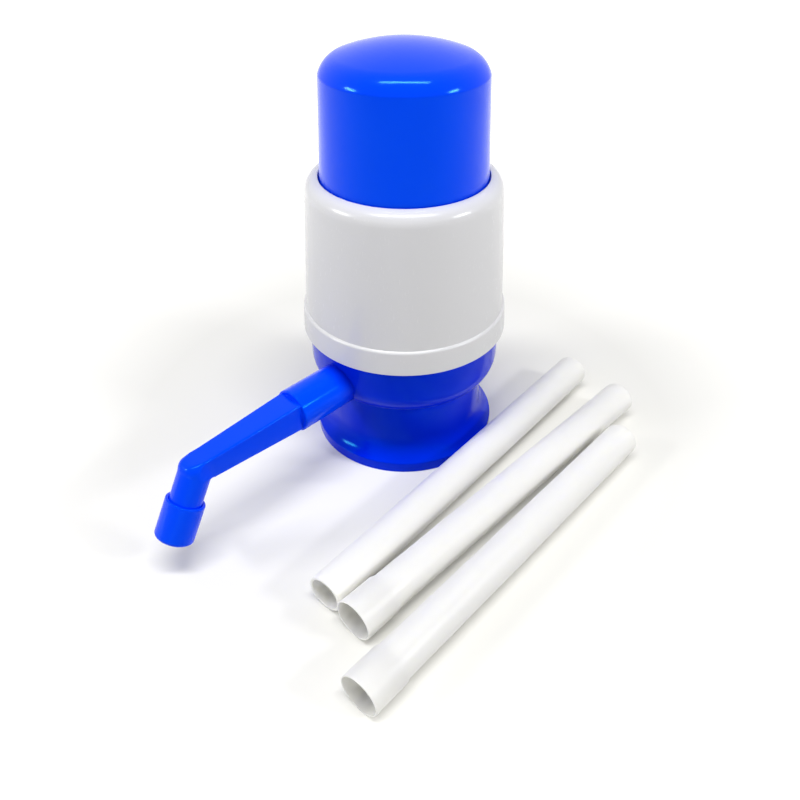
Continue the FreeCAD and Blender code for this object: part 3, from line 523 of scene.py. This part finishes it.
# Plunger. A moulded stem hangs from the cap. At its foot a steel screw clamps the piston disc and the
# rubber cup whose lip wipes the bore.
dress(milky_plastic, "plunger_stem", "piston")
dress(black_rubber, "piston_cup")
dress(turned_steel, "piston_screw")

# Return spring. Hard-drawn steel wire wound in seven turns, closed at both ends. It stands on the lid
# round the stem and pushes up under the stem's flange.
WIRE_RADIUS = 0.8
SPRING_RADIUS = 10.5
SPRING_TURNS = 7
SPRING_FOOT = 98.5
SPRING_HEAD = 147.0
CLOSED_PITCH = 2.2
WIRE_STEPS = 48
EASE_TURNS = 0.25
climb = SPRING_HEAD - SPRING_FOOT - 2 * WIRE_RADIUS
open_pitch = (climb - 2 * CLOSED_PITCH) / (SPRING_TURNS - 2)
bpy.ops.object.select_all(action="DESELECT")
bpy.ops.curve.primitive_nurbs_path_add()
coil = bpy.context.object
coil.name = "return_coil"
coil.data.splines.clear()
wire = coil.data.splines.new("POLY")
wire.points.add(SPRING_TURNS * WIRE_STEPS)
height = SPRING_FOOT + WIRE_RADIUS
for number, point in enumerate(wire.points):
    done = number / WIRE_STEPS
    angle = 2 * math.pi * done
    point.co = (SPRING_RADIUS * math.cos(angle) * MM, SPRING_RADIUS * math.sin(angle) * MM, height * MM, 1)
    inward = min(done, SPRING_TURNS - done) - 1
    opened = min(1.0, max(0.0, inward / EASE_TURNS + 0.5))
    height += (CLOSED_PITCH + (open_pitch - CLOSED_PITCH) * opened) / WIRE_STEPS
coil.data.bevel_depth = WIRE_RADIUS * MM
coil.data.bevel_resolution = 4
coil.data.use_fill_caps = True
wake(coil)
bpy.ops.object.convert(target="MESH")
bpy.ops.object.mode_set(mode="EDIT")
bpy.ops.mesh.select_all(action="SELECT")
bpy.ops.mesh.remove_doubles(threshold=WELD)
bpy.ops.mesh.normals_make_consistent(inside=False)
bpy.ops.object.mode_set(mode="OBJECT")
bpy.ops.object.shade_smooth_by_angle(angle=SMOOTH_ANGLE)
spring_steel = steel_finish("spring_steel", (0.50, 0.50, 0.53), (1.0, 1.0, 0.3), (0.2, 0.34))
stands_for(coil, "pump_body", "return_spring", spring_steel)
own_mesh(coil)

# Cylinder lid. A milky cap pressed over the cylinder's top, with a raised guide for the stem and four
# vents.
dress(milky_plastic, "cylinder_lid")

# Housing. A white polypropylene sleeve, slightly tapered, snapped over the base's rim. It ends above in
# a round shoulder and an inward lip that keeps the cap in, and below in a thicker band.
BAND_BOTTOM = 51.9
BAND_RADIUS = 41.2
BAND_TOP_RADIUS = 40.6
BAND_TOP = 60.6
BAND_ROUND = 1.1
SLEEVE_FOOT = 39.6
SLEEVE_TOP = 36.75
SLEEVE_WALL = 1.9
SHOULDER_HEIGHT = 108.0
SHOULDER_ROUND = 5.4
SHOULDER_INSET = 4.85
SLEEVE_HEIGHT = 113.4
LIP_FLAT = 0.4
LIP_RADIUS = SLEEVE_TOP - SHOULDER_INSET - LIP_FLAT
LIP_BOTTOM = 111.0
RIM_GAP = 0.2
LEDGE_GAP = 0.1
LEDGE = BASE_HEIGHT + LEDGE_GAP
white_gloss = moulded("white_gloss", (0.69, 0.69, 0.71), (0.675, 0.675, 0.70), (0.2, 0.26))
housing = turned("housing_sleeve", [
    (BULGE_RADIUS + RIM_GAP, BAND_BOTTOM),
    (BAND_RADIUS, BAND_BOTTOM),
    (BAND_TOP_RADIUS, BAND_TOP, BAND_ROUND, 1),
    (SLEEVE_FOOT, BAND_TOP + BAND_ROUND),
    (SLEEVE_TOP, SHOULDER_HEIGHT, SHOULDER_ROUND, 1),
    (SLEEVE_TOP - SHOULDER_INSET, SLEEVE_HEIGHT),
    (LIP_RADIUS, SLEEVE_HEIGHT),
    (LIP_RADIUS, LIP_BOTTOM),
    (SLEEVE_TOP - SLEEVE_WALL, LIP_BOTTOM),
    (SLEEVE_TOP - SLEEVE_WALL, SHOULDER_HEIGHT),
    (SLEEVE_FOOT - SLEEVE_WALL, LEDGE),
    (BULGE_RADIUS + RIM_GAP, LEDGE),
])
soften(housing)
shade(housing)
stands_for(housing, "pump_body", "housing", white_gloss)

# Push cap. A blue moulded dome pressed by the palm, with a soft edge, a rim inside the housing that
# stops under the lip, and a boss that grips the stem.
CAP_RIM_GAP = 1.95
CAP_RIM_RADIUS = SLEEVE_TOP - SLEEVE_WALL - CAP_RIM_GAP
CAP_BOTTOM = 107.6
CAP_RIM_TOP = 110.9
CAP_GAP = 0.4
CAP_FOOT = LIP_RADIUS - CAP_GAP
CAP_DRAFT = 1.83
CAP_TOP = CAP_FOOT - CAP_DRAFT
CAP_HEIGHT = 158.0
CAP_EDGE_FALL = 10.2
CAP_EDGE_HEIGHT = CAP_HEIGHT - CAP_EDGE_FALL
CAP_EDGE_ROUND = 9.8
CROWN_STEP = 5.87
CROWN_RADIUS = CAP_TOP - CROWN_STEP
CROWN_FALL = 4.05
CROWN_HEIGHT = CAP_HEIGHT - CROWN_FALL
CAP_WALL = 1.8
CROWN_INSET = 0.8
CROWN_LIFT = 0.2
STEM_RADIUS = 5.0
BOSS_RADIUS = 8.0
BOSS_DEPTH = 3.15
STEM_SHOULDER = CROWN_HEIGHT - CAP_WALL - BOSS_DEPTH
DOME_RADIUS = (CROWN_RADIUS ** 2 + CROWN_FALL ** 2) / (2 * CROWN_FALL)
INNER_DOME = CAP_HEIGHT - CAP_WALL
INNER_DOME_RADIUS = DOME_RADIUS - CAP_WALL
BOSS_MEETS = INNER_DOME - INNER_DOME_RADIUS + math.sqrt(INNER_DOME_RADIUS ** 2 - BOSS_RADIUS ** 2)
cap = turned("push_cap_dome", [
    (0, CAP_HEIGHT),
    (0, INNER_DOME),
    (STEM_RADIUS, INNER_DOME),
    (STEM_RADIUS, STEM_SHOULDER),
    (BOSS_RADIUS, STEM_SHOULDER),
    (BOSS_RADIUS, BOSS_MEETS, INNER_DOME_RADIUS, -1),
    (CROWN_RADIUS - CROWN_INSET, CROWN_HEIGHT - CAP_WALL + CROWN_LIFT, CAP_EDGE_ROUND - CAP_WALL, -1),
    (CAP_TOP - CAP_WALL, CAP_EDGE_HEIGHT - CROWN_LIFT),
    (CAP_FOOT - CAP_WALL, CAP_BOTTOM),
    (CAP_RIM_RADIUS, CAP_BOTTOM),
    (CAP_RIM_RADIUS, CAP_RIM_TOP),
    (CAP_FOOT, CAP_RIM_TOP),
    (CAP_TOP, CAP_EDGE_HEIGHT, CAP_EDGE_ROUND, 1),
    (CROWN_RADIUS, CROWN_HEIGHT, DOME_RADIUS, 1),
])
soften(cap)
shade(cap)
# Painted light: the cap, spout and dust cap take the same blue plastic as the base, painted paler.
blue_painted_paler = moulded("blue_painted_paler", (0.0, 0.056, 1.0), (0.0, 0.050, 0.97), (0.10, 0.16),
                    specular_tint=(0.1, 0.9, 1.0), ior=1.28)
stands_for(cap, "plunger", "push_cap", blue_painted_paler)

# Spout. A blue pipe of square section with narrow corners, so a sharp ridge runs along each. It tapers
# towards its bend, where it dips at 59 degrees and turns round in section. Its spigot turns in the
# socket, sealed by a rubber ring.
ROOT_HALF = 5.82
BEND_HALF = 4.41
RIDGE_ROUND = 0.8
ROUND_FROM = 0.35
BEND_DISTANCE = 105.0
BEND_ANGLE = math.radians(59.2)
OUTER_ROUND = 4.0
INNER_ROUND = 0.8
LEG = 26.0
TIP_RADIUS = 5.85
TIP_ROUNDNESS = 0.999
TIP_CORNER = TIP_RADIUS * TIP_ROUNDNESS
SPOUT_EDGE = 0.4
SPOUT_BORE = 4.5
BEND_BORE = 3.8
BORE_ROUNDNESS = 0.98
SPIGOT_PLAY = 0.07
SPIGOT_RADIUS = SOCKET_BORE - SPIGOT_PLAY
SPIGOT_END = 41.9
CORNER_STEPS = 10
BEND_STEPS = 14


def loop(half_width, half_height, corner, matrix):
    """One rounded square of edges: a plane with bevelled corners, stood where the pipe passes."""
    bpy.ops.object.select_all(action="DESELECT")
    bpy.ops.mesh.primitive_plane_add(size=2 * MM)
    ring = bpy.context.object
    bpy.ops.object.mode_set(mode="EDIT")
    bpy.ops.transform.resize(value=(half_width, half_height, 1), center_override=(0, 0, 0))
    bpy.ops.mesh.bevel(offset=corner * MM, affect="VERTICES", segments=CORNER_STEPS, profile=0.5)
    bpy.ops.mesh.select_all(action="SELECT")
    bpy.ops.mesh.delete(type="ONLY_FACE")
    bpy.ops.object.mode_set(mode="OBJECT")
    set_in_place(ring, matrix)
    return ring


def bridged(name, rings):
    """Joins loops of edges into one pipe by bridging each to the next, with both ends closed."""
    wake(*rings)
    bpy.ops.object.join()
    pipe = bpy.context.object
    pipe.name = name
    size = len(pipe.data.vertices) // len(rings)
    for number in range(len(rings) - 1):
        bpy.ops.object.mode_set(mode="EDIT")
        bpy.ops.mesh.select_all(action="DESELECT")
        bpy.ops.object.mode_set(mode="OBJECT")
        for edge in pipe.data.edges:
            if all(number * size <= corner < (number + 2) * size for corner in edge.vertices):
                edge.select = True
        bpy.ops.object.mode_set(mode="EDIT")
        bpy.ops.mesh.bridge_edge_loops()
    bpy.ops.mesh.select_all(action="DESELECT")
    bpy.ops.mesh.select_mode(type="EDGE")
    bpy.ops.mesh.select_non_manifold()
    bpy.ops.mesh.edge_face_add()
    bpy.ops.mesh.select_all(action="SELECT")
    bpy.ops.mesh.normals_make_consistent(inside=False)
    bpy.ops.mesh.select_mode(type="VERT")
    bpy.ops.object.mode_set(mode="OBJECT")
    return pipe


def across_spout(distance, up=0.0, tilt=0.0):
    """The frame of a loop that the spout passes through, tilted forward about its own width."""
    stand = Matrix.Rotation(math.pi / 2 + tilt, 4, "X")
    return Matrix.Translation(Vector((0, -distance, SPOUT_HEIGHT + up)) * MM) @ stand


def down_leg(distance):
    """The frame of a loop that the leg passes through, so far down from the bend."""
    out, down = distance * math.cos(BEND_ANGLE), distance * math.sin(BEND_ANGLE)
    return across_spout(BEND_DISTANCE + out, -down, BEND_ANGLE)


def outside_of_bend(angle):
    """How far the pipe's outer side lies from the bend's pivot, in a plane at this angle."""
    over_arm = 2 * BEND_HALF + INNER_ROUND
    over_leg = 2 * TIP_RADIUS + INNER_ROUND
    lean = math.atan2((over_leg - OUTER_ROUND) / (over_arm - OUTER_ROUND) - math.cos(BEND_ANGLE),
                      math.sin(BEND_ANGLE))
    reach = (over_arm - OUTER_ROUND) / math.cos(lean)
    if angle < math.atan2(reach * math.sin(lean), over_arm):
        return over_arm / math.cos(angle)
    if BEND_ANGLE - angle < math.atan2(reach * math.sin(BEND_ANGLE - lean), over_leg):
        return over_leg / math.cos(BEND_ANGLE - angle)
    off = angle - lean
    return reach * math.cos(off) + math.sqrt(OUTER_ROUND ** 2 - (reach * math.sin(off)) ** 2)


pivot_up = -BEND_HALF - INNER_ROUND
pivot_back = (TIP_RADIUS + INNER_ROUND + pivot_up * math.cos(BEND_ANGLE)) / math.sin(BEND_ANGLE)
pivot_out = BEND_DISTANCE - pivot_back
rings = [loop(ROOT_HALF, ROOT_HALF, RIDGE_ROUND, across_spout(SOCKET_END))]
for number in range(BEND_STEPS + 1):
    share = number / BEND_STEPS
    angle = BEND_ANGLE * share
    outside = outside_of_bend(angle)
    middle = (outside + INNER_ROUND) / 2
    rounded = max(0.0, share - ROUND_FROM) / (1 - ROUND_FROM)
    half_width = BEND_HALF + (TIP_RADIUS - BEND_HALF) * rounded
    corner = RIDGE_ROUND + (TIP_CORNER - RIDGE_ROUND) * rounded
    centre_out = pivot_out + middle * math.sin(angle)
    centre_up = pivot_up + middle * math.cos(angle)
    rings.append(loop(half_width, outside - middle, corner, across_spout(centre_out, centre_up, angle)))
rings.append(loop(TIP_RADIUS, TIP_RADIUS, TIP_CORNER, down_leg(LEG)))
spout = bridged("spout_pipe", rings)
soften(spout, width=SPOUT_EDGE)
bore = bridged("spout_bore", [
    loop(SPOUT_BORE, SPOUT_BORE, SPOUT_BORE * BORE_ROUNDNESS, across_spout(SPIGOT_END - CUT_PAST)),
    loop(BEND_BORE, BEND_BORE / math.cos(BEND_ANGLE / 2), BEND_BORE * BORE_ROUNDNESS,
         across_spout(BEND_DISTANCE, 0, BEND_ANGLE / 2)),
    loop(SPOUT_BORE, SPOUT_BORE, SPOUT_BORE * BORE_ROUNDNESS, down_leg(LEG + CUT_PAST)),
])
carve(spout, rod(SPIGOT_RADIUS, SPIGOT_END, SOCKET_END + SINK), "UNION")
carve(spout, bore, "DIFFERENCE")
shade(spout)
stands_for(spout, "spout_arm", "spout", blue_painted_paler)
dress(black_rubber, "spout_oring")

# Dust cap. A round cup moulded in the spout's blue plastic, closed by a flat end with a rounded edge
# and pushed over the spout's tip.
DUST_CAP_RADIUS = 7.1
DUST_CAP_CORNER = 1.5
DUST_CAP_EDGE = 0.55
DUST_CAP_PLAY = 0.03
DUST_CAP_BORE = TIP_RADIUS + DUST_CAP_PLAY
DUST_CAP_GRIP = 13.6
DUST_CAP_MOUTH = LEG - DUST_CAP_GRIP
DUST_CAP_GAP = 0.1
DUST_CAP_FLOOR = LEG + DUST_CAP_GAP
DUST_CAP_PAST = 1.8
DUST_CAP_END = LEG + DUST_CAP_PAST
dust_cap = turned("tip_dust_cap", [
    (0, DUST_CAP_FLOOR),
    (0, DUST_CAP_END),
    (DUST_CAP_RADIUS - DUST_CAP_CORNER, DUST_CAP_END, DUST_CAP_CORNER, -1),
    (DUST_CAP_RADIUS, DUST_CAP_END - DUST_CAP_CORNER),
    (DUST_CAP_RADIUS, DUST_CAP_MOUTH),
    (DUST_CAP_BORE, DUST_CAP_MOUTH),
    (DUST_CAP_BORE, DUST_CAP_FLOOR),
], steps=SMALL_TURN_STEPS)
soften(dust_cap, width=DUST_CAP_EDGE)
set_in_place(dust_cap, down_leg(0))
shade(dust_cap)
stands_for(dust_cap, "tip_cap", "dust_cap", blue_painted_paler)

# Dip tubes. Three lengths of ivory polyethylene pipe that push together into one long suction tube.
# Two are widened at one end, where the heat of forming leaves a soft cone behind the bell.
TUBE_RADIUS = 7.0
TUBE_WALL = 1.1
TUBE_BORE = TUBE_RADIUS - TUBE_WALL
TUBE_EDGE = 0.2
BELL_FIT = 7.1
BELL_RADIUS = 7.6
BELL_DEPTH = 14.0
BELL_CONE = 2.0
CONE_END = BELL_DEPTH + BELL_CONE
TUBES = [
    # node, length, distance of its line from the pump's axis, heading in degrees, start along it, bell
    ("tube_1", 168.0, 46.3, 93.6, 98.6, False),
    ("tube_2", 165.0, 68.2, 89.5, 95.9, True),
    ("tube_3", 158.0, 85.4, 91.2, 115.5, True),
]
ivory = moulded("ivory_pipe", (0.94, 0.93, 0.88), (0.92, 0.91, 0.855), (0.36, 0.44),
                subsurface=0.7, scatter=3.0)
for node, length, distance, heading, start, bell in TUBES:
    if bell:
        corners = [
            (BELL_FIT, 0), (BELL_RADIUS, 0), (BELL_RADIUS, BELL_DEPTH), (TUBE_RADIUS, CONE_END),
            (TUBE_RADIUS, length), (TUBE_BORE, length), (TUBE_BORE, CONE_END), (BELL_FIT, BELL_DEPTH)]
    else:
        corners = [(TUBE_BORE, 0), (TUBE_RADIUS, 0), (TUBE_RADIUS, length), (TUBE_BORE, length)]
    tube = turned("dip_" + node, corners, steps=SMALL_TURN_STEPS)
    soften(tube, width=TUBE_EDGE)
    turn = math.radians(heading)
    near_radius = BELL_RADIUS if bell else TUBE_RADIUS
    droop = math.asin((near_radius - TUBE_RADIUS) / length)
    near = Vector((
        distance * math.sin(turn) - start * math.cos(turn),
        -distance * math.cos(turn) - start * math.sin(turn), near_radius))
    lie = Matrix.Rotation(turn + math.pi / 2, 4, "Z") @ Matrix.Rotation(math.pi / 2 + droop, 4, "X")
    set_in_place(tube, Matrix.Translation(near * MM) @ lie)
    shade(tube)
    stands_for(tube, "loose_" + node, node, ivory)
